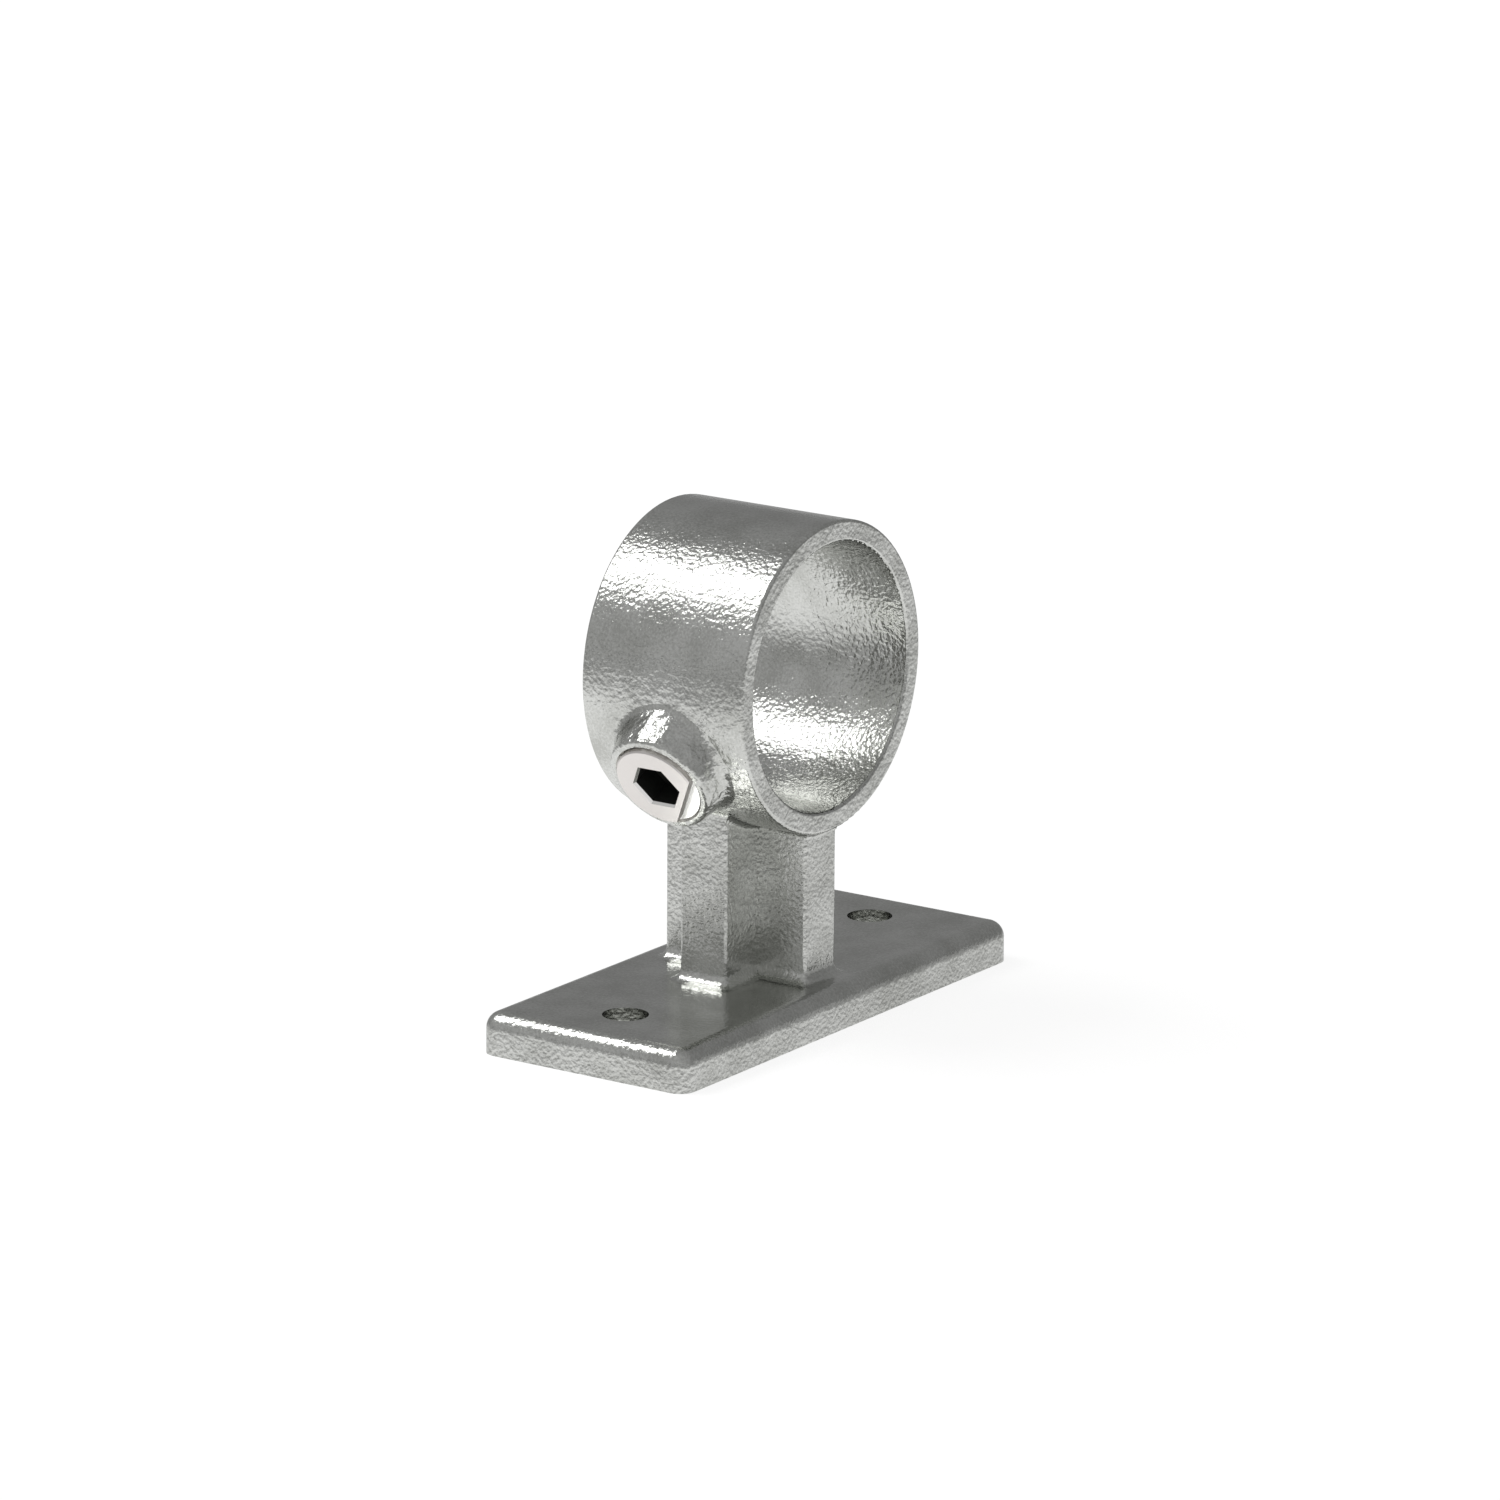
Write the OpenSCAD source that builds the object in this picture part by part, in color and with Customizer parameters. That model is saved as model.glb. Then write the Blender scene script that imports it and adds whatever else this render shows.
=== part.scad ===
// Handrail bracket. One galvanised casting holds a base plate with two screw holes, a
// cross-shaped post and a ring that the rail passes through. A hexagon-socket set screw in
// the ring's slanting boss is driven against the rail to grip it.
// The origin is the middle of the base plate's underside. X runs along the rail, Y along
// the base plate's long side and Z up. All sizes are in millimetres.

/* [Rail] */
// Outside diameter of the rail that the ring takes
rail_d = 48.3; // [42.4:0.1:52]
// Room between the rail and the ring, on each side
rail_gap = 0.5; // [0.3:0.05:1]
// Height of the rail's axis above the base plate's underside
rail_h = 64.2; // [58:0.1:110]

/* [Ring] */
// Thickness of the ring's wall
ring_wall = 3.95; // [3:0.05:6]
// Width of the ring along the rail
ring_w = 34.7; // [33:0.1:44]
// Rounding of the ring's four edges
ring_edge_r = 0.6; // [0.3:0.1:1]

/* [Base plate] */
// Length of the base plate, across the rail
plate_l = 105.8; // [98:0.1:130]
// Width of the base plate, along the rail
plate_w = 44.7; // [42:0.1:60]
// Thickness of the base plate
plate_t = 7.8; // [6:0.1:12]
// Rounding of the base plate's upright corners and top edges
plate_r = 3.2; // [2:0.1:4.5]

/* [Screw holes] */
// Diameter of the two holes for the fixing screws
hole_d = 8.4; // [6:0.1:10]
// Distance between the two holes
hole_pitch = 78.5; // [72:0.5:82]

/* [Post] */
// Thickness of each rib of the cross
rib_t = 10; // [7:0.5:13]
// Length of each rib of the cross, from end face to end face
rib_l = 30.7; // [26:0.1:31]
// Rounding of the ribs' upright edges
rib_edge_r = 0.8; // [0.5:0.1:1.2]
// Concave fillet where the post stands on the base plate
foot_r = 2.2; // [1:0.1:3.4]
// Concave fillet where the post runs into the ring
neck_r = 1.3; // [0.5:0.1:1.4]

/* [Boss] */
// Angle of the boss below the horizontal
boss_angle = 29; // [20:1:40]
// Wall of the boss round the set screw's hole
boss_wall = 1.62; // [1.3:0.02:2.5]
// How far the boss stands out of the ring
boss_h = 4.9; // [4:0.1:8]
// Draft of the boss's side, which is widest at the ring
boss_draft = 14; // [2:1:16]
// Rounding of the boss's rim
boss_rim_r = 0.9; // [0.4:0.1:1.1]
// Concave fillet where the boss runs into the ring
boss_root_r = 2.6; // [1.5:0.1:3]
// Chamfer round the mouth of the set screw's hole
mouth_chamfer = 0.4; // [0.1:0.05:0.5]

/* [Set screw] */
// Outside diameter of the set screw
screw_d = 16.66; // [15:0.01:16.8]
// Running room between the set screw and its hole, on each side
screw_gap = 0.05; // [0.02:0.01:0.1]
// How far the set screw's outer face stands out of the boss
screw_out = 0.75; // [0:0.05:2]
// Room between the set screw's tip and the ring's bore
tip_gap = 0.15; // [0.05:0.05:1]
// Chamfer round the set screw's outer face
face_chamfer = 0.25; // [0.1:0.05:0.6]
// Width across the flats of the key socket
key_af = 8; // [6:0.1:9]
// Depth of the key socket
key_depth = 5.2; // [4:0.1:6]
// Chamfer round the key socket's mouth
key_chamfer = 0.45; // [0.1:0.05:0.6]
// Depth of the step at one edge of the outer face
step_depth = 1.1; // [0.3:0.05:1.5]
// Distance of the step from the set screw's axis
step_x = 5.55; // [5.2:0.05:6.5]
// Diameter of the hollow in the set screw's tip
cup_d = 9; // [6:0.1:10]
// Depth of the hollow in the set screw's tip
cup_depth = 1.4; // [0.8:0.1:2]
// Chamfer round the set screw's tip
tip_chamfer = 1; // [0.5:0.1:1.6]

/* [Hidden] */
$fn = 96;
// Depth by which a shape reaches into the one that it is joined to
sink = 0.4;
// How far a cutting shape runs past the face that it opens
over = 1;
bore_r = rail_d / 2 + rail_gap;
ring_r = bore_r + ring_wall;
// Radius in the middle of the ring's wall, where the post and the boss end
mid_r = bore_r + ring_wall / 2;
rib_end = rib_l / 2;
rib_side = rib_t / 2;
neck = min(neck_r, ring_w / 2 - rib_end - ring_edge_r);
screw_hole_r = screw_d / 2 + screw_gap;
boss_r = screw_hole_r + boss_wall;
boss_end = ring_r + boss_h;
// Radius that the boss's sloping side would have at the rail's axis
boss_foot_r = boss_r + boss_end * tan(boss_draft);
screw_face = boss_end + screw_out;
screw_tip = bore_r + tip_gap;
screw_len = screw_face - screw_tip;
// Depth by which the edges of the boss's root fillet end below the surfaces that it meets
bite = 0.05;
// Sections round the boss's root fillet, and steps along each section's arc
root_sections = 60;
arc_steps = 6;
zinc = "#b4b7b6";
plated = "#d9d4d1";

// Section of a concave fillet in the corner between the X axis and the Y axis
module cove_section(r) {
  difference() {
    translate([-sink, -sink]) square(r + sink);
    translate([r, r]) circle(r);
  }
}

// A rectangle of len by wid round the origin, with its corners rounded
module round_rect(len, wid, r) {
  square([len - 2 * r, wid], center = true);
  square([len, wid - 2 * r], center = true);
  for (x = [-1, 1], y = [-1, 1])
    translate([x * (len / 2 - r), y * (wid / 2 - r)]) circle(r);
}

// Turns the X-Z plane of a revolve or an extrusion so that its Z axis runs along X
module along_x() {
  rotate([90, 0, 90]) children();
}

// Carries its children to the boss's axis, with Z pointing out of the ring
module on_boss_axis() {
  translate([0, 0, rail_h]) rotate([90 + boss_angle, 0, 0]) children();
}

// Round bar along X at the rail's height that trims what ends inside the ring's wall
module ring_core() {
  translate([0, 0, rail_h]) along_x() cylinder(h = 2 * ring_w, r = mid_r, center = true);
}

module base_plate() {
  flat_l = plate_l - 2 * plate_r;
  flat_w = plate_w - 2 * plate_r;
  edge_z = plate_t - plate_r;
  linear_extrude(edge_z) round_rect(plate_w, plate_l, plate_r);
  translate([0, 0, plate_t / 2]) cube([flat_w, flat_l, plate_t], center = true);
  for (x = [-1, 1])
    translate([x * flat_w / 2, 0, edge_z]) rotate([90, 0, 0])
      cylinder(h = flat_l, r = plate_r, center = true);
  for (y = [-1, 1])
    translate([0, y * flat_l / 2, edge_z]) rotate([0, 90, 0])
      cylinder(h = flat_w, r = plate_r, center = true);
  for (x = [-1, 1], y = [-1, 1])
    translate([x * flat_w / 2, y * flat_l / 2, edge_z]) sphere(plate_r);
}

module screw_holes() {
  for (y = [-1, 1])
    translate([0, y * hole_pitch / 2, -over]) cylinder(h = plate_t + 2 * over, d = hole_d);
}

// The two crossed ribs, from inside the base plate to the middle of the ring's wall
module post() {
  difference() {
    translate([0, 0, plate_t - sink]) linear_extrude(rail_h - plate_t)
      for (a = [0, 90]) rotate(a) round_rect(rib_l, rib_t, rib_edge_r);
    ring_core();
  }
}

// Fillet along one side of the half rib that points along X, and round its corner
module foot_fillet_side() {
  translate([0, rib_side, 0]) along_x() linear_extrude(rib_end - rib_edge_r) cove_section(foot_r);
  translate([rib_end - rib_edge_r, rib_side - rib_edge_r, 0]) rotate_extrude(angle = 90)
    translate([rib_edge_r, 0]) cove_section(foot_r);
}

// Fillet round the foot of the half rib that points along X
module foot_fillet() {
  rotate([90, 0, 0]) linear_extrude(rib_t - 2 * rib_edge_r, center = true)
    translate([rib_end, 0]) cove_section(foot_r);
  foot_fillet_side();
  mirror([0, 1, 0]) foot_fillet_side();
}

// Section, along the ring's radius, of a rib's neck that is x_half to each side of the
// middle at its foot and flares at both ends to the ring's surface
module neck_band_section(x_half) {
  flared = x_half + neck;
  difference() {
    translate([ring_r - sink, -flared]) square([sink + neck, 2 * flared]);
    for (x = [-1, 1]) translate([ring_r + neck, x * flared]) circle(neck);
  }
}

// Outline, in the Y-Z plane round the ring's middle, of a rib's neck that is y_half to each
// side at its foot and flares to meet the ring's surface
module neck_side_section(y_half) {
  flared = y_half + neck;
  drop = sqrt(pow(ring_r + neck, 2) - pow(flared, 2));
  on_ring = flared * ring_r / (ring_r + neck);
  difference() {
    union() {
      translate([-y_half, -2 * ring_r]) square([2 * y_half, 2 * ring_r]);
      translate([-on_ring, -drop]) square([2 * on_ring, drop]);
    }
    for (y = [-1, 1]) translate([y * flared, -drop]) circle(neck);
  }
}

// The flared top of a rib where it runs into the ring
module neck_fillet(x_half, y_half) {
  translate([0, 0, rail_h]) along_x() intersection() {
    rotate_extrude() neck_band_section(x_half);
    linear_extrude(2 * (x_half + neck), center = true) neck_side_section(y_half);
  }
}

module fillets() {
  translate([0, 0, plate_t]) for (a = [0 : 90 : 270]) rotate(a) foot_fillet();
  neck_fillet(rib_end, rib_side);
  neck_fillet(rib_side, rib_end);
}

module ring() {
  translate([0, 0, rail_h]) along_x() rotate_extrude()
    translate([mid_r, 0]) round_rect(ring_wall, ring_w, ring_edge_r);
}

// The boss's tapered part, from the middle of the ring's wall to its rounded rim
module boss() {
  rim = [boss_foot_r - (boss_end - boss_rim_r) * tan(boss_draft) - boss_rim_r / cos(boss_draft),
         boss_end - boss_rim_r];
  difference() {
    on_boss_axis() rotate_extrude() {
      polygon([
        [0, 0],
        [boss_foot_r, 0],
        rim + boss_rim_r * [cos(boss_draft), sin(boss_draft)],
        [rim[0], boss_end],
        [0, boss_end]
      ]);
      translate(rim) circle(boss_rim_r);
    }
    ring_core();
  }
}

// Points of the root fillet's section at angle a round the boss: a ball of the fillet's
// radius rolls round the boss on the ring, and the section follows it from one to the other,
// a little deeper than the ball so that its edges cut the surfaces cleanly
function root_section(a) =
  let (slope = tan(boss_draft),
       out = [cos(boss_draft) * cos(a), cos(boss_draft) * sin(a), sin(boss_draft)],
       reach = boss_foot_r + boss_root_r / cos(boss_draft),
       on_ring = ring_r + boss_root_r,
       lean = slope * pow(sin(a), 2),
       up = (reach * lean + sqrt(pow(reach * lean, 2)
             - (1 + slope * lean) * (pow(reach * sin(a), 2) - pow(on_ring, 2))))
            / (1 + slope * lean),
       from_axis = reach - up * slope,
       ball = [from_axis * cos(a), from_axis * sin(a), up],
       to_ring = -[0, ball[1], up] / on_ring,
       turn = acos(-(out * to_ring)),
       arc_r = boss_root_r + bite,
       inner = (boss_r - sink) * [cos(a), sin(a)],
       inner_up = sqrt(pow(ring_r, 2) - pow(inner[1], 2)) - sink)
  concat(
    [ball - out * (boss_root_r + sink)],
    [for (i = [0 : arc_steps])
      let (t = i / arc_steps)
      ball + arc_r * (sin((1 - t) * turn) * -out + sin(t * turn) * to_ring) / sin(turn)],
    [ball + to_ring * (boss_root_r + sink), [inner[0], inner[1], inner_up]]);

// Fillet between the boss and the ring, a closed band of sections round the boss
module boss_root() {
  sections = [for (i = [0 : root_sections - 1]) root_section(i * 360 / root_sections)];
  count = len(sections[0]);
  points = [for (s = sections) each s];
  faces = [for (i = [0 : root_sections - 1], j = [0 : count - 1])
    let (n = (i + 1) % root_sections, k = (j + 1) % count,
         a = i * count + j, b = i * count + k, c = n * count + k, d = n * count + j)
    each [[a, c, b], [a, d, c]]];
  on_boss_axis() polyhedron(points, faces);
}

module screw_hole() {
  on_boss_axis() {
    cylinder(h = boss_end + over, r = screw_hole_r);
    translate([0, 0, boss_end - mouth_chamfer])
      cylinder(h = 2 * mouth_chamfer, r1 = screw_hole_r, r2 = screw_hole_r + 2 * mouth_chamfer);
  }
}

module bracket_casting() {
  color(zinc) difference() {
    union() {
      base_plate();
      post();
      fillets();
      ring();
      boss();
      boss_root();
    }
    screw_holes();
    screw_hole();
  }
}

// The set screw stands on its axis with its tip at the origin, as turned
module screw_body() {
  r = screw_d / 2;
  rotate_extrude() difference() {
    polygon([
      [0, 0],
      [r - tip_chamfer, 0],
      [r, tip_chamfer],
      [r, screw_len - face_chamfer],
      [r - face_chamfer, screw_len],
      [0, screw_len]
    ]);
    polygon([[0, -over], [cup_d / 2, -over], [cup_d / 2, 0], [0, cup_depth]]);
  }
}

module key_socket() {
  corner_r = key_af / 2 / cos(30);
  translate([0, 0, screw_len - key_depth])
    cylinder(h = key_depth + over, r = corner_r, $fn = 6);
  translate([0, 0, screw_len - key_chamfer])
    cylinder(h = 2 * key_chamfer, r1 = corner_r, r2 = corner_r + 2 * key_chamfer, $fn = 6);
}

module face_step() {
  rotate(-30) translate([step_x, -screw_d, screw_len - step_depth])
    cube([screw_d, 2 * screw_d, step_depth + over]);
}

module set_screw() {
  color(plated) on_boss_axis() translate([0, 0, screw_tip]) difference() {
    screw_body();
    key_socket();
    face_step();
  }
}

bracket_casting();
set_screw();
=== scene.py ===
"""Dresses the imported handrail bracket: the galvanised casting and its plated set screw.

The casting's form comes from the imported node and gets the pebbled, uneven skin of a
galvanised sand casting. The set screw is modelled here with its real thread. Both stand on
a white studio sweep under one large soft box. Sizes are in millimetres until a mesh is
written.
"""

import logging  # noqa: E402
import math  # noqa: E402
from collections.abc import Mapping, Sequence  # noqa: E402
from dataclasses import dataclass  # noqa: E402
from enum import Enum  # noqa: E402

import bmesh  # noqa: E402
import bpy  # noqa: E402
from mathutils import Matrix, Vector  # noqa: E402


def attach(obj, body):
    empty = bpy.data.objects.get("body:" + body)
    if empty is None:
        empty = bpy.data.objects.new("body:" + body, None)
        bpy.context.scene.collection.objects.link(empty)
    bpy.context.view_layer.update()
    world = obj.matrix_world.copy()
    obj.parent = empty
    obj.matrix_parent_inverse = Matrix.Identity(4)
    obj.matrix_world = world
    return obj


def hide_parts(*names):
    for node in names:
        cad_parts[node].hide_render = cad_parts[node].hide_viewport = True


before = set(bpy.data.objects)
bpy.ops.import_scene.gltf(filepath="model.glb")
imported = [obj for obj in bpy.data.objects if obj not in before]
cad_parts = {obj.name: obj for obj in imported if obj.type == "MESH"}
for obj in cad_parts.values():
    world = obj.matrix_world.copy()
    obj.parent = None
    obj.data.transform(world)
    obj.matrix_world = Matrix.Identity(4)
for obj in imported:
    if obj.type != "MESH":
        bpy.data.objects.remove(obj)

log = logging.getLogger("handrail_bracket")

MM = 0.001
# Two points of the screw's drawn shapes that lie closer than this, in millimetres, are one
SCREW_SEAM = 1e-5


class Body(Enum):
    """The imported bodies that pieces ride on."""

    BRACKET = "bracket"
    SCREW = "screw"


class Slot(Enum):
    """The record's material slots."""

    CASTING = "galvanised_casting"
    SCREW = "plated_screw"


class Cut(Enum):
    """What a Boolean modifier does with its tool."""

    JOIN = "UNION"
    REMOVE = "DIFFERENCE"
    KEEP_SHARED = "INTERSECT"


def linear(hex_colour: str) -> tuple[float, float, float, float]:
    """Turns an sRGB hex colour into linear RGBA.

    Args:
        hex_colour: Six hex digits after a hash sign.

    Returns:
        Linear red, green and blue, and an alpha of 1.
    """
    values = [int(hex_colour[i : i + 2], 16) / 255 for i in (1, 3, 5)]
    red, green, blue = (
        v / 12.92 if v <= 0.04045 else ((v + 0.055) / 1.055) ** 2.4 for v in values
    )
    return red, green, blue, 1.0


def per_metre(size_mm: float) -> float:
    """Gives the scale of a pattern on Object coordinates whose grains are size_mm wide."""
    return 1 / (size_mm * MM)


def add_node(
    tree: bpy.types.NodeTree,
    kind: str,
    settings: Mapping[str, object] | None = None,
    inputs: Mapping[str | int, object] | None = None,
) -> bpy.types.Node:
    """Adds one node, with its settings, its values and its links.

    Args:
        tree: The node tree that gets the node.
        kind: The node's type name.
        settings: Attributes of the node.
        inputs: Values, or output sockets of other nodes, by input name or number.

    Returns:
        The new node.
    """
    node = tree.nodes.new(kind)
    for name, value in (settings or {}).items():
        setattr(node, name, value)
    for name, value in (inputs or {}).items():
        if isinstance(value, bpy.types.NodeSocket):
            tree.links.new(value, node.inputs[name])
        else:
            node.inputs[name].default_value = value
    return node


def new_material(name: str) -> tuple[bpy.types.Material, bpy.types.NodeTree]:
    """Makes a material with an empty node tree.

    Args:
        name: The finish's name.

    Returns:
        The material and its node tree.
    """
    material = bpy.data.materials.new(name)
    material.use_nodes = True
    material.node_tree.nodes.clear()
    return material, material.node_tree


def finish_surface(tree: bpy.types.NodeTree, shader: bpy.types.NodeSocket) -> None:
    """Links a shader to the tree's material output.

    Args:
        tree: The material's node tree.
        shader: The shader's output socket.
    """
    add_node(tree, "ShaderNodeOutputMaterial", inputs={"Surface": shader})


def object_place(tree: bpy.types.NodeTree) -> bpy.types.NodeSocket:
    """Gives the Object coordinates of a shaded point."""
    return add_node(tree, "ShaderNodeTexCoord").outputs["Object"]


def upward(tree: bpy.types.NodeTree, direction: bpy.types.NodeSocket) -> bpy.types.NodeSocket:
    """Gives the Z part of a direction or a place."""
    return add_node(tree, "ShaderNodeSeparateXYZ", inputs={"Vector": direction}).outputs["Z"]


def noise(
    tree: bpy.types.NodeTree,
    place: bpy.types.NodeSocket,
    size_mm: float,
    detail: float,
    roughness: float = 0.5,
) -> bpy.types.NodeSocket:
    """Adds a noise pattern.

    Args:
        tree: The node tree.
        place: The coordinates that carry the pattern, in metres.
        size_mm: The width of the pattern's grains.
        detail: How many finer layers the noise has.
        roughness: How strong the finer layers are.

    Returns:
        The pattern, from 0 to 1.
    """
    inputs = {
        "Vector": place,
        "Scale": per_metre(size_mm),
        "Detail": detail,
        "Roughness": roughness,
    }
    return add_node(tree, "ShaderNodeTexNoise", inputs=inputs).outputs["Fac"]


def remap(
    tree: bpy.types.NodeTree,
    value: bpy.types.NodeSocket,
    source: tuple[float, float],
    target: tuple[float, float] = (0.0, 1.0),
    curve: str = "LINEAR",
) -> bpy.types.NodeSocket:
    """Carries a value from one range to another, clamped at both ends.

    Args:
        tree: The node tree.
        value: The value.
        source: The range of the value.
        target: The range of the result.
        curve: The node's interpolation type.

    Returns:
        The result.
    """
    inputs = {
        "Value": value,
        "From Min": source[0],
        "From Max": source[1],
        "To Min": target[0],
        "To Max": target[1],
    }
    settings = {"interpolation_type": curve}
    return add_node(tree, "ShaderNodeMapRange", settings, inputs).outputs["Result"]


def calculate(
    tree: bpy.types.NodeTree,
    operation: str,
    first: bpy.types.NodeSocket,
    second: bpy.types.NodeSocket | float,
) -> bpy.types.NodeSocket:
    """Adds a Math node and gives its result."""
    node = add_node(tree, "ShaderNodeMath", {"operation": operation}, {0: first, 1: second})
    return node.outputs["Value"]


def blend(
    tree: bpy.types.NodeTree, share: bpy.types.NodeSocket, colour: str, other: str
) -> bpy.types.NodeSocket:
    """Mixes two sRGB hex colours: all of the first at a share of 0, of the other at 1."""
    node = add_node(
        tree,
        "ShaderNodeMix",
        {"data_type": "RGBA"},
        {0: share, 6: linear(colour), 7: linear(other)},
    )
    return node.outputs[2]


def bump(
    tree: bpy.types.NodeTree,
    height: bpy.types.NodeSocket,
    depth_mm: float,
    below: bpy.types.NodeSocket | None = None,
) -> bpy.types.NodeSocket:
    """Adds relief to the surface.

    Args:
        tree: The node tree.
        height: The relief's height, from 0 to 1.
        depth_mm: The depth that a height of 1 stands for.
        below: The normal of the relief that carries this one, if any.

    Returns:
        The normal of the surface with the relief.
    """
    inputs = {"Height": height, "Distance": depth_mm * MM, "Strength": 1.0}
    if below is not None:
        inputs["Normal"] = below
    return add_node(tree, "ShaderNodeBump", inputs=inputs).outputs["Normal"]


@dataclass(frozen=True)
class GalvanisedIron:
    """Cast iron, hot-dip galvanised.

    The zinc gives a fairly bright grey metal with soft gloss. It lies over the sand
    casting's pebbled skin, so that its highlights break up into glints, and it waves and
    clouds a little. Surfaces that lie level are smoother, because the zinc sets flat there,
    and the plate's mould was finer than the ring's. Round the boss the casting is lumpy.
    """

    light: str = "#d4d5d2"
    dark: str = "#babbb7"
    roughness: tuple[float, float] = (0.13, 0.22)
    wave_mm: float = 8.0
    wave_depth_mm: float = 0.25
    pebble_mm: float = 0.8
    pebble_depth_mm: float = 0.17
    pebble_roughness: float = 0.4
    grain_mm: float = 0.45
    grain_depth_mm: float = 0.03
    grain_range: tuple[float, float] = (0.3, 0.7)
    cloud_range: tuple[float, float] = (0.75, 1.25)
    level_range: tuple[float, float] = (0.97, 1.0)
    level_share: float = 0.35
    level_gloss: float = 0.6
    plate_share: float = 0.75
    plate_to_ring_mm: tuple[float, float] = (8.0, 40.0)
    lump_mm: float = 2.6
    lump_depth_mm: float = 0.55
    boss_mm: tuple[float, float, float] = (1.0, -26.5, 50.0)
    boss_reach_mm: tuple[float, float] = (10.0, 17.0)

    def material(self) -> bpy.types.Material:
        """Builds the node material."""
        material, tree = new_material("galvanised_iron")
        place = object_place(tree)
        wave = noise(tree, place, self.wave_mm, 1.0)
        grain = noise(tree, place, self.grain_mm, 1.0)
        facing = upward(tree, add_node(tree, "ShaderNodeNewGeometry").outputs["Normal"])
        level = remap(tree, facing, self.level_range, (1.0, self.level_share))
        coarseness = remap(
            tree,
            upward(tree, place),
            tuple(height * MM for height in self.plate_to_ring_mm),
            (self.plate_share, 1.0),
        )
        pebble = noise(tree, place, self.pebble_mm, 2.0, self.pebble_roughness)
        pebble = calculate(tree, "MULTIPLY", pebble, level)
        pebble = calculate(tree, "MULTIPLY", pebble, coarseness)
        from_boss = add_node(
            tree,
            "ShaderNodeVectorMath",
            {"operation": "DISTANCE"},
            {0: place, 1: tuple(part * MM for part in self.boss_mm)},
        ).outputs["Value"]
        reach = tuple(distance * MM for distance in self.boss_reach_mm)
        boss_share = remap(tree, from_boss, reach, (1.0, 0.0))
        lump = noise(tree, place, self.lump_mm, 1.0)
        lump = calculate(tree, "MULTIPLY", lump, boss_share)
        skin = bump(tree, calculate(tree, "MULTIPLY", wave, level), self.wave_depth_mm)
        skin = bump(tree, lump, self.lump_depth_mm, skin)
        skin = bump(tree, pebble, self.pebble_depth_mm, skin)
        skin = bump(tree, grain, self.grain_depth_mm, skin)
        tone = remap(tree, calculate(tree, "ADD", wave, grain), self.cloud_range)
        gloss = remap(tree, grain, self.grain_range, self.roughness)
        evenness = remap(tree, facing, self.level_range, (1.0, self.level_gloss))
        shader = add_node(
            tree,
            "ShaderNodeBsdfPrincipled",
            inputs={
                "Base Color": blend(tree, tone, self.dark, self.light),
                "Metallic": 1.0,
                "Roughness": calculate(tree, "MULTIPLY", gloss, evenness),
                "Normal": skin,
            },
        )
        finish_surface(tree, shader.outputs["BSDF"])
        return material


@dataclass(frozen=True)
class PlatedSteel:
    """Machined steel, zinc plated: a pale, even metal with a satin face."""

    colour: str = "#ebe7e4"
    shade: str = "#e1ddda"
    roughness: tuple[float, float] = (0.3, 0.4)
    cloud_mm: float = 3.0
    grain_mm: float = 0.25
    grain_depth_mm: float = 0.004

    def material(self) -> bpy.types.Material:
        """Builds the node material."""
        material, tree = new_material("zinc_plated_steel")
        place = object_place(tree)
        cloud = noise(tree, place, self.cloud_mm, 2.0)
        grain = noise(tree, place, self.grain_mm, 1.0)
        shader = add_node(
            tree,
            "ShaderNodeBsdfPrincipled",
            inputs={
                "Base Color": blend(tree, cloud, self.shade, self.colour),
                "Metallic": 1.0,
                "Roughness": remap(tree, cloud, (0.0, 1.0), self.roughness),
                "Normal": bump(tree, grain, self.grain_depth_mm),
            },
        )
        finish_surface(tree, shader.outputs["BSDF"])
        return material


@dataclass(frozen=True)
class CutSteel:
    """Freshly cut steel on the socket's chamfer and the milled step: bright and clean."""

    colour: str = "#fbfaf8"
    roughness: float = 0.1

    def material(self) -> bpy.types.Material:
        """Builds the node material."""
        material, tree = new_material("bright_cut_steel")
        shader = add_node(
            tree,
            "ShaderNodeBsdfPrincipled",
            inputs={
                "Base Color": linear(self.colour),
                "Metallic": 1.0,
                "Roughness": self.roughness,
            },
        )
        finish_surface(tree, shader.outputs["BSDF"])
        return material


@dataclass(frozen=True)
class PaintedSocketShade:
    """Painted shade deep in the key socket: a near-black, matt metal that stands in for the
    shade that falls there.
    """

    # Near-black painted shade for the socket's walls, with a slightly lighter tone mixed in at
    # random
    colour: str = "#2b2c2a"
    light: str = "#3c3d3a"
    metal: float = 0.6
    roughness: float = 0.55
    mark_mm: float = 0.6

    def material(self) -> bpy.types.Material:
        """Builds the node material."""
        # This material paints the socket's shade as a near-black colour
        material, tree = new_material("socket_painted_shade")
        marks = noise(tree, object_place(tree), self.mark_mm, 2.0)
        shader = add_node(
            tree,
            "ShaderNodeBsdfPrincipled",
            inputs={
                "Base Color": blend(tree, marks, self.colour, self.light),
                "Metallic": self.metal,
                "Roughness": self.roughness,
            },
        )
        finish_surface(tree, shader.outputs["BSDF"])
        return material


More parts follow.
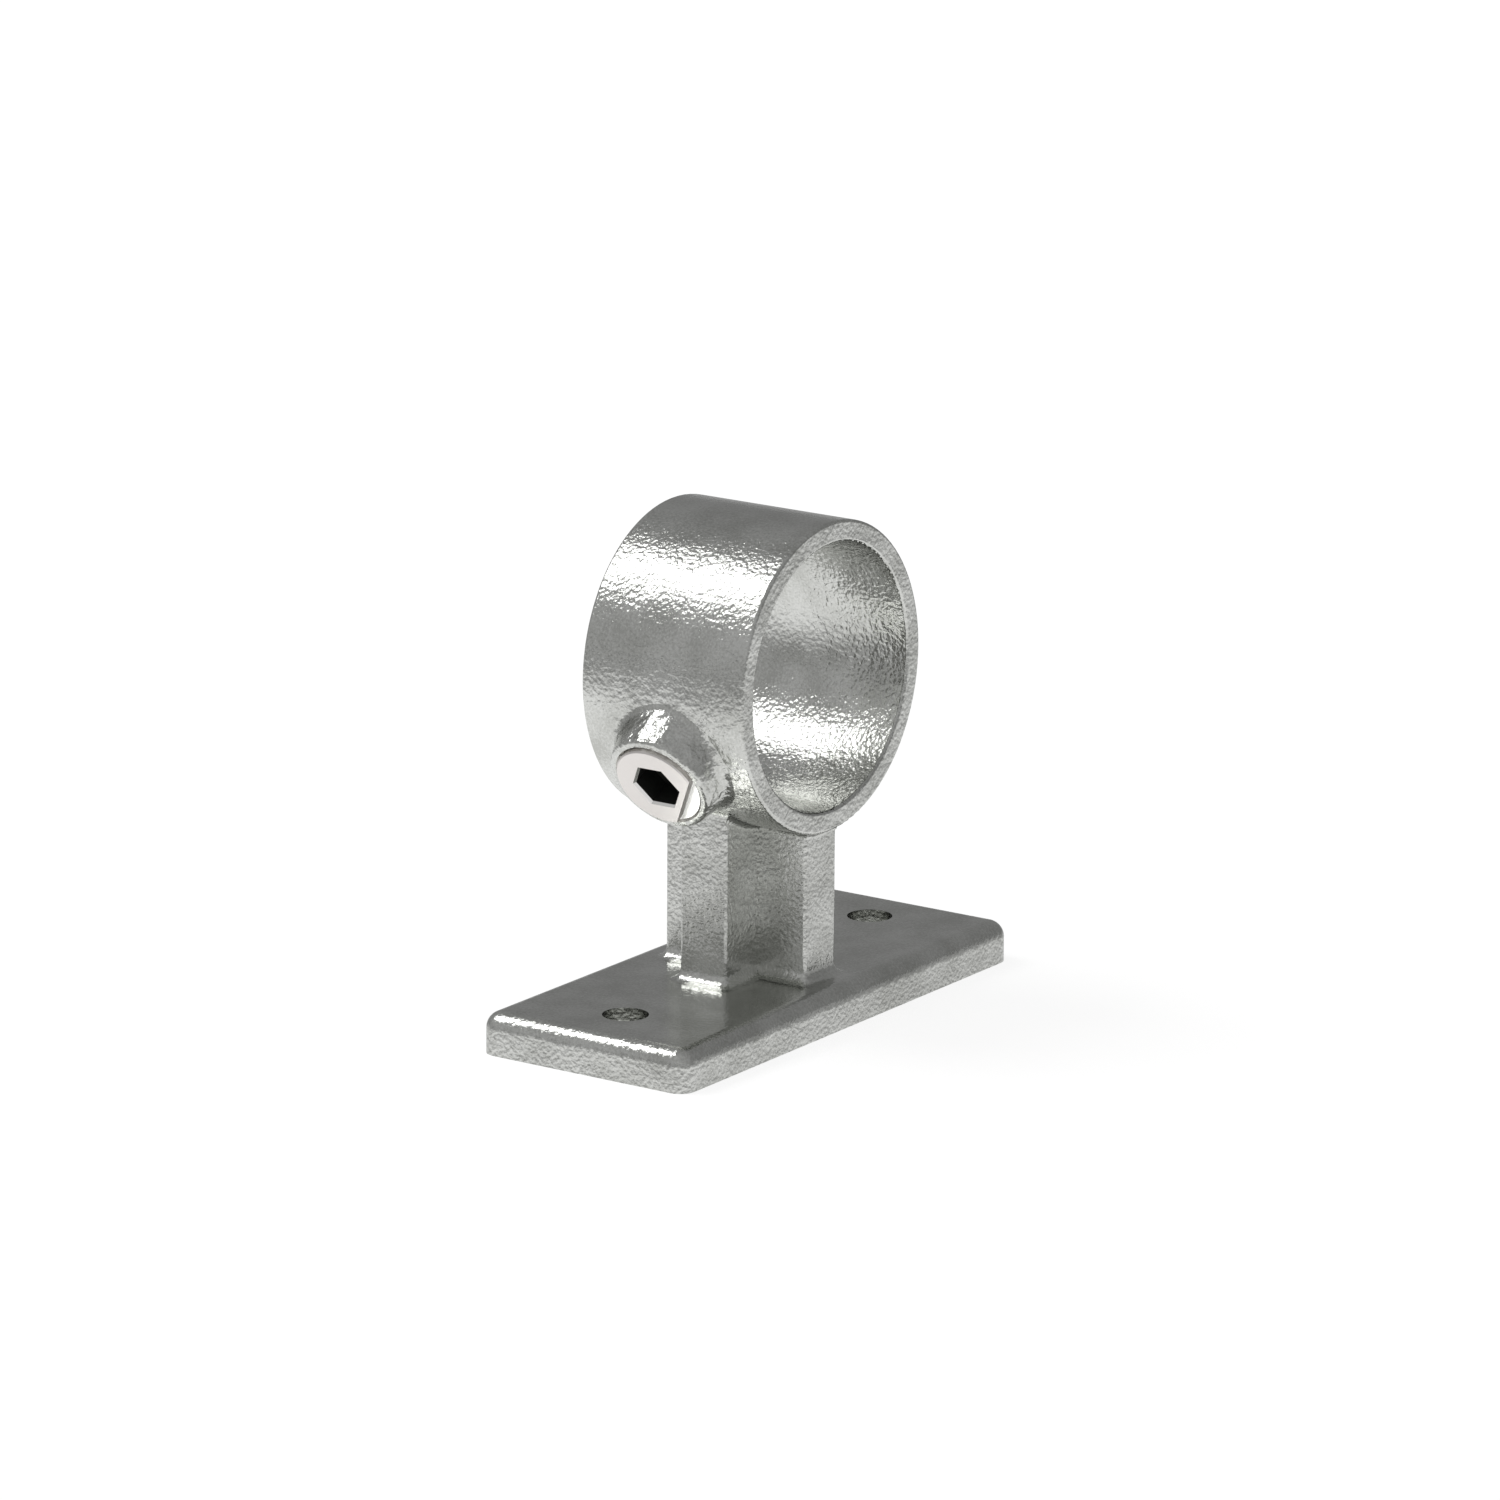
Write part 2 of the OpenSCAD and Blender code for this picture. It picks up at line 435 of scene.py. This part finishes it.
@dataclass(frozen=True)
class StudioPaper:
    """White background paper: matt, and lit to white where camera and metal see it.

    Metal sees it greyer at a flat angle, as it fades into the dim room. The camera sees it
    a little brighter far away, where the soft box lights it less, so that it stays white.
    """

    colour: str = "#bcbcbc"
    glow: float = 0.785
    flat_share: float = 0.22
    flat_angle: tuple[float, float] = (0.08, 0.44)
    far_share: float = 1.12
    far_mm: tuple[float, float] = (400.0, 1500.0)

    def material(self) -> bpy.types.Material:
        """Builds the node material."""
        material, tree = new_material("studio_paper")
        matt = add_node(
            tree, "ShaderNodeBsdfDiffuse", inputs={"Color": linear(self.colour)}
        ).outputs["BSDF"]
        path = add_node(tree, "ShaderNodeLightPath").outputs
        incoming = add_node(tree, "ShaderNodeNewGeometry").outputs["Incoming"]
        fade = remap(
            tree,
            upward(tree, incoming),
            self.flat_angle,
            (self.flat_share, 1.0),
            "SMOOTHSTEP",
        )
        mirrored = calculate(
            tree, "MAXIMUM", path["Is Glossy Ray"], path["Is Transmission Ray"]
        )
        mirrored = calculate(tree, "MULTIPLY", mirrored, fade)
        away = add_node(
            tree, "ShaderNodeVectorMath", {"operation": "LENGTH"}, {0: object_place(tree)}
        ).outputs["Value"]
        far = tuple(distance * MM for distance in self.far_mm)
        lift = remap(tree, away, far, (1.0, self.far_share))
        direct = calculate(tree, "MULTIPLY", path["Is Camera Ray"], lift)
        seen = calculate(tree, "MAXIMUM", direct, mirrored)
        white = add_node(
            tree,
            "ShaderNodeEmission",
            inputs={
                "Color": (1.0, 1.0, 1.0, 1.0),
                "Strength": calculate(tree, "MULTIPLY", seen, self.glow),
            },
        ).outputs["Emission"]
        both = add_node(tree, "ShaderNodeAddShader", inputs={0: matt, 1: white})
        finish_surface(tree, both.outputs["Shader"])
        return material


def mesh_object(name: str, shape: bmesh.types.BMesh) -> bpy.types.Object:
    """Writes a bmesh, drawn in millimetres, to a new object at the origin in metres.

    Args:
        name: The object's name.
        shape: The bmesh, which is freed.

    Returns:
        The new object, linked to the scene.
    """
    bmesh.ops.scale(shape, vec=(MM, MM, MM), verts=shape.verts[:])
    mesh = bpy.data.meshes.new(name)
    shape.to_mesh(mesh)
    shape.free()
    piece = bpy.data.objects.new(name, mesh)
    bpy.context.scene.collection.objects.link(piece)
    return piece


def apply_modifiers(piece: bpy.types.Object) -> None:
    """Replaces a piece's mesh by what its modifiers make of it, and clears them."""
    graph = bpy.context.evaluated_depsgraph_get()
    made = bpy.data.meshes.new_from_object(piece.evaluated_get(graph))
    old = piece.data
    piece.modifiers.clear()
    piece.data = made
    made.name = old.name
    bpy.data.meshes.remove(old)


def combine(piece: bpy.types.Object, tool: bpy.types.Object, cut: Cut) -> None:
    """Applies a Boolean of a tool to a piece and removes the tool.

    Args:
        piece: The piece that is changed.
        tool: The closed shape that is joined to it or cut from it.
        cut: What is done with the tool.
    """
    boolean = piece.modifiers.new("boolean", "BOOLEAN")
    boolean.operation = cut.value
    boolean.solver = "MANIFOLD"
    boolean.object = tool
    bpy.context.view_layer.update()
    apply_modifiers(piece)
    bpy.data.objects.remove(tool)


def revolve(
    profile: Sequence[tuple[float, float]], steps: int, seam: float = SCREW_SEAM
) -> bmesh.types.BMesh:
    """Spins a half section round the Z axis.

    Args:
        profile: Radius and height of each point, from one pole to the other.
        steps: Segments of the full turn.
        seam: Points that lie closer than this are one point.

    Returns:
        A bmesh, closed where the profile ends on the axis.
    """
    shape = bmesh.new()
    points = [shape.verts.new((radius, 0, height)) for radius, height in profile]
    edges = [shape.edges.new(pair) for pair in zip(points, points[1:])]
    bmesh.ops.spin(
        shape,
        geom=points + edges,
        axis=(0, 0, 1),
        cent=(0, 0, 0),
        angle=math.tau,
        steps=steps,
        use_merge=True,
    )
    bmesh.ops.remove_doubles(shape, verts=shape.verts[:], dist=seam)
    bmesh.ops.recalc_face_normals(shape, faces=shape.faces[:])
    return shape


def shade(piece: bpy.types.Object, sharp_degrees: float) -> None:
    """Smooths a piece's shading, except at edges that turn by more than an angle.

    Args:
        piece: The piece.
        sharp_degrees: The smallest angle of an edge that stays sharp.
    """
    shape = bmesh.new()
    shape.from_mesh(piece.data)
    for face in shape.faces:
        face.smooth = True
    for edge in shape.edges:
        edge.smooth = edge.calc_face_angle(math.pi) < math.radians(sharp_degrees)
    shape.to_mesh(piece.data)
    shape.free()


def weigh_normals(piece: bpy.types.Object) -> None:
    """Lets a piece's large faces decide the normals at their edges, so that flats stay flat."""
    weighted = piece.modifiers.new("normals", "WEIGHTED_NORMAL")
    weighted.mode = "FACE_AREA"
    weighted.keep_sharp = True
    apply_modifiers(piece)


@dataclass
class BracketCasting:
    """The casting: base plate, cross-shaped post, ring and boss in one piece."""

    flat_degrees: float = 0.3
    sharp_degrees: float = 42.0
    seam: float = 1e-4
    finish: GalvanisedIron = GalvanisedIron()

    def build(self) -> bpy.types.Object:
        """Builds and dresses the casting.

        Returns:
            The piece, riding on the bracket's body.
        """
        piece = self.skin(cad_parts["bracket_casting"])
        shade(piece, self.sharp_degrees)
        weigh_normals(piece)
        piece.data.materials.clear()
        piece.data.materials.append(self.finish.material())
        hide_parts("bracket_casting")
        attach(piece, Body.BRACKET.value)
        return piece

    def skin(self, node: bpy.types.Object) -> bpy.types.Object:
        """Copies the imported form, with each flat face in one piece again.

        Args:
            node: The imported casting.

        Returns:
            A new object with the mesh.
        """
        shape = bmesh.new()
        shape.from_mesh(node.data)
        bmesh.ops.scale(shape, vec=(1 / MM, 1 / MM, 1 / MM), verts=shape.verts[:])
        bmesh.ops.remove_doubles(shape, verts=shape.verts[:], dist=self.seam)
        bmesh.ops.dissolve_limit(
            shape,
            angle_limit=math.radians(self.flat_degrees),
            verts=shape.verts[:],
            edges=shape.edges[:],
        )
        return mesh_object("galvanised_bracket", shape)


@dataclass
class SetScrew:
    """The hexagon-socket set screw, drawn upright on its tip and then laid on its axis."""

    rail_height: float = 64.2
    slope_degrees: float = 29.0
    tip_from_rail: float = 24.8
    diameter: float = 16.66
    length: float = 9.45
    face_chamfer: float = 0.25
    tip_chamfer: float = 1.0
    cup_diameter: float = 9.0
    cup_depth: float = 1.4
    collar: float = 1.4
    pitch: float = 1.337
    thread_depth: float = 0.82
    crest: float = 0.22
    root_gap: float = 0.12
    root_chamfer: float = 0.3
    runout_share: float = 0.6
    ridge_sink: float = 0.25
    key_flats: float = 8.0
    key_depth: float = 5.2
    key_chamfer: float = 0.45
    step_depth: float = 1.1
    step_from_axis: float = 5.55
    step_degrees: float = -30.0
    steps_per_turn: int = 72
    sharp_degrees: float = 12.0
    face_margin: float = 0.02
    socket_margin: float = 0.05
    level_z: float = 0.9
    plated: PlatedSteel = PlatedSteel()
    # Painted shade for the key socket's walls
    socket_shade: PaintedSocketShade = PaintedSocketShade()
    cut: CutSteel = CutSteel()

    def build(self) -> bpy.types.Object:
        """Builds and dresses the set screw.

        Returns:
            The piece, riding on the screw's body.
        """
        piece = self.threaded_blank()
        for tool in (
            self.hexagon_tool("socket_tool", self.key_depth, 0),
            self.hexagon_tool("mouth_tool", self.key_chamfer, 2 * self.key_chamfer),
            self.step_tool(),
        ):
            combine(piece, tool, Cut.REMOVE)
        self.dress(piece)
        shade(piece, self.sharp_degrees)
        piece.data.transform(self.placement())
        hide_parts("set_screw")
        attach(piece, Body.SCREW.value)
        return piece

    def placement(self) -> Matrix:
        """Gives the matrix that carries the upright screw to its place, in metres."""
        return (
            Matrix.Translation((0, 0, self.rail_height * MM))
            @ Matrix.Rotation(math.radians(90 + self.slope_degrees), 4, "X")
            @ Matrix.Translation((0, 0, self.tip_from_rail * MM))
        )

    def envelope(self) -> bmesh.types.BMesh:
        """Draws the largest shape that the threaded part may fill, chamfered at its tip."""
        radius = self.diameter / 2
        return revolve(
            [
                (0, 0),
                (radius - self.tip_chamfer, 0),
                (radius, self.tip_chamfer),
                (radius, self.length - self.collar / 2),
                (0, self.length - self.collar / 2),
            ],
            self.steps_per_turn,
        )

    def core(self) -> bmesh.types.BMesh:
        """Draws the screw's core, with its cup tip and the plain collar under its face."""
        radius = self.diameter / 2
        root = radius - self.thread_depth
        lip = self.length - self.collar
        return revolve(
            [
                (0, self.cup_depth),
                (self.cup_diameter / 2, 0),
                (root - self.root_chamfer, 0),
                (root, self.root_chamfer),
                (root, lip - self.thread_depth * self.runout_share),
                (radius, lip),
                (radius, self.length - self.face_chamfer),
                (radius - self.face_chamfer, self.length),
                (0, self.length),
            ],
            self.steps_per_turn,
        )

    def ridge(self) -> bmesh.types.BMesh:
        """Draws the thread's ridge: one section, swept along a helix by a screwing spin."""
        radius = self.diameter / 2
        root = radius - self.thread_depth
        turns = (self.length + self.pitch) / self.pitch
        half_root = (self.pitch - self.root_gap) / 2
        inside = root - self.ridge_sink
        shape = bmesh.new()
        section = shape.faces.new(
            [
                shape.verts.new((inside, 0, -half_root)),
                shape.verts.new((root, 0, -half_root)),
                shape.verts.new((radius, 0, -self.crest / 2)),
                shape.verts.new((radius, 0, self.crest / 2)),
                shape.verts.new((root, 0, half_root)),
                shape.verts.new((inside, 0, half_root)),
            ]
        )
        steps = round(turns * self.steps_per_turn)
        bmesh.ops.translate(shape, verts=shape.verts[:], vec=(0, 0, -self.pitch))
        bmesh.ops.spin(
            shape,
            geom=[section, *section.verts, *section.edges],
            axis=(0, 0, 1),
            cent=(0, 0, 0),
            dvec=(0, 0, turns * self.pitch / steps),
            angle=turns * math.tau,
            steps=steps,
        )
        bmesh.ops.recalc_face_normals(shape, faces=shape.faces[:])
        return shape

    def threaded_blank(self) -> bpy.types.Object:
        """Joins the core and the thread, which runs out into the chamfered tip."""
        thread = mesh_object("thread", self.ridge())
        combine(thread, mesh_object("envelope", self.envelope()), Cut.KEEP_SHARED)
        blank = mesh_object("socket_set_screw", self.core())
        combine(blank, thread, Cut.JOIN)
        return blank

    @property
    def key_corner(self) -> float:
        """The radius of the key socket's corners."""
        return self.key_flats / 2 / math.cos(math.pi / 6)

    def hexagon_tool(self, name: str, depth: float, flare: float) -> bpy.types.Object:
        """Draws a hexagon, as wide as the key at its bottom, that straddles the face.

        Args:
            name: The tool's name.
            depth: How far it reaches into the screw.
            flare: How much wider its corners lie at its top.

        Returns:
            The tool.
        """
        shape = bmesh.new()
        bmesh.ops.create_cone(
            shape,
            cap_ends=True,
            segments=6,
            radius1=self.key_corner,
            radius2=self.key_corner + flare,
            depth=2 * depth,
            matrix=Matrix.Translation((0, 0, self.length))
            @ Matrix.Rotation(math.pi / 6, 4, "Z"),
        )
        return mesh_object(name, shape)

    def step_tool(self) -> bpy.types.Object:
        """Draws the block that mills the step along one edge of the face."""
        shape = bmesh.new()
        bmesh.ops.create_cube(shape, size=1.0)
        wide = self.diameter
        bmesh.ops.scale(
            shape, vec=(wide, 2 * wide, 2 * self.step_depth), verts=shape.verts[:]
        )
        bmesh.ops.translate(
            shape,
            vec=(self.step_from_axis + wide / 2, 0, self.length),
            verts=shape.verts[:],
        )
        bmesh.ops.rotate(
            shape,
            cent=(0, 0, 0),
            matrix=Matrix.Rotation(math.radians(self.step_degrees), 3, "Z"),
            verts=shape.verts[:],
        )
        return mesh_object("step_tool", shape)

    def dress(self, piece: bpy.types.Object) -> None:
        """Gives each face its finish: painted shade in the socket, bright where cut, else
        plated.
        """
        piece.data.materials.clear()
        for finish in (self.plated, self.socket_shade, self.cut):
            piece.data.materials.append(finish.material())
        shape = bmesh.new()
        shape.from_mesh(piece.data)
        for face in shape.faces:
            face.material_index = self.finish_of(face)
        shape.to_mesh(piece.data)
        shape.free()

    def finish_of(self, face: bmesh.types.BMFace) -> int:
        """Says which finish a face has: 0 plated, 1 painted shade in the socket, 2 cut."""
        middle = face.calc_center_median() / MM
        out = math.hypot(middle.x, middle.y)
        below_face = self.length - middle.z
        near = self.face_margin
        level = face.normal.z > self.level_z
        on_step = abs(below_face - self.step_depth) < near and level
        in_chamfer = near < below_face < self.key_chamfer - near
        if on_step or (in_chamfer and out < self.key_corner + self.key_chamfer):
            return 2
        # Faces deep in the key socket get the painted shade
        deepest = self.key_depth + self.socket_margin
        in_socket = self.key_chamfer < below_face < deepest
        return int(in_socket and out < self.key_corner - self.socket_margin)


@dataclass
class Studio:
    """The camera, the white sweep, one soft box and the grey room round them."""

    image_side: int = 1500
    focal_pixels: float = 8627.0
    sensor_mm: float = 36.0
    clip_m: tuple[float, float] = (0.05, 50.0)
    camera_mm: tuple[float, float, float] = (849.59, -1243.73, 448.91)
    forward: tuple[float, float, float] = (-0.54522, 0.79787, -0.25717)
    roll_degrees: float = 0.365
    floor_radius: float = 5000.0
    sweep_radius: float = 420.0
    sweep_steps: int = 12
    turn_steps: int = 96
    seam: float = 0.01
    box_azimuth: float = -66.0
    box_elevation: float = 52.0
    box_distance: float = 2500.0
    box_size: tuple[float, float] = (1090.0, 1090.0)
    box_watts: float = 12.0
    room_front: float = 0.47
    room_back: float = 0.25
    room_span: tuple[float, float] = (-0.8, 0.8)
    paper: StudioPaper = StudioPaper()

    def build(self) -> None:
        """Builds everything round the object."""
        self.camera()
        self.sweep()
        self.soft_box()
        self.room()

    def camera(self) -> None:
        """Sets the camera as the photograph's outlines give it."""
        data = bpy.data.cameras.new("camera")
        data.sensor_width = self.sensor_mm
        data.lens = self.focal_pixels / self.image_side * self.sensor_mm
        data.clip_start, data.clip_end = self.clip_m
        camera = bpy.data.objects.new("camera", data)
        bpy.context.scene.collection.objects.link(camera)
        ahead = Vector(self.forward).normalized()
        level = ahead.cross(Vector((0, 0, 1))).normalized()
        over = level.cross(ahead)
        roll = math.radians(self.roll_degrees)
        right = level * math.cos(roll) + over * math.sin(roll)
        above = right.cross(ahead)
        turn = Matrix((right, above, -ahead)).transposed()
        camera.matrix_world = Matrix.LocRotScale(Vector(self.camera_mm) * MM, turn, None)
        bpy.context.scene.camera = camera

    def sweep(self) -> None:
        """Draws the floor, which sweeps up all round at its far edge."""
        profile = [(0.0, 0.0), (self.floor_radius, 0.0)]
        for i in range(1, self.sweep_steps + 1):
            angle = math.pi / 2 * i / self.sweep_steps
            out = self.floor_radius + self.sweep_radius * math.sin(angle)
            profile.append((out, self.sweep_radius * (1 - math.cos(angle))))
        floor = mesh_object("floor", revolve(profile, self.turn_steps, self.seam))
        floor.data.materials.append(self.paper.material())

    def soft_box(self) -> None:
        """Hangs the soft box high in front, to the left."""
        data = bpy.data.lights.new("soft_box", "AREA")
        data.shape = "RECTANGLE"
        data.size, data.size_y = (side * MM for side in self.box_size)
        data.energy = self.box_watts
        lamp = bpy.data.objects.new("soft_box", data)
        bpy.context.scene.collection.objects.link(lamp)
        azimuth, elevation = math.radians(self.box_azimuth), math.radians(self.box_elevation)
        out = Vector(
            (
                math.sin(azimuth) * math.cos(elevation),
                -math.cos(azimuth) * math.cos(elevation),
                math.sin(elevation),
            )
        )
        lamp.location = out * self.box_distance * MM
        lamp.rotation_euler = out.to_track_quat("Z", "Y").to_euler()

    def room(self) -> None:
        """Makes the room's walls and ceiling a plain grey, darker behind the object."""
        world = bpy.data.worlds.new("room")
        bpy.context.scene.world = world
        world.use_nodes = True
        tree = world.node_tree
        tree.nodes.clear()
        direction = add_node(tree, "ShaderNodeTexCoord").outputs["Generated"]
        back = add_node(
            tree, "ShaderNodeSeparateXYZ", inputs={"Vector": direction}
        ).outputs["Y"]
        level = remap(tree, back, self.room_span, (self.room_front, self.room_back))
        walls = add_node(
            tree,
            "ShaderNodeBackground",
            inputs={"Color": (1.0, 1.0, 1.0, 1.0), "Strength": level},
        ).outputs["Background"]
        add_node(tree, "ShaderNodeOutputWorld", inputs={"Surface": walls})


def triangles(piece: bpy.types.Object) -> int:
    """Counts a piece's triangles."""
    return sum(len(polygon.vertices) - 2 for polygon in piece.data.polygons)


def main() -> None:
    """Builds the pieces and the studio."""
    logging.basicConfig(level=logging.INFO, format="%(name)s: %(message)s")
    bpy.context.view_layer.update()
    for part in (BracketCasting(), SetScrew()):
        piece = part.build()
        log.info("%s: %d triangles", piece.name, triangles(piece))
    Studio().build()
    bpy.context.scene.view_settings.view_transform = "Standard"
    bpy.context.view_layer.update()


if __name__ == "__main__":
    main()
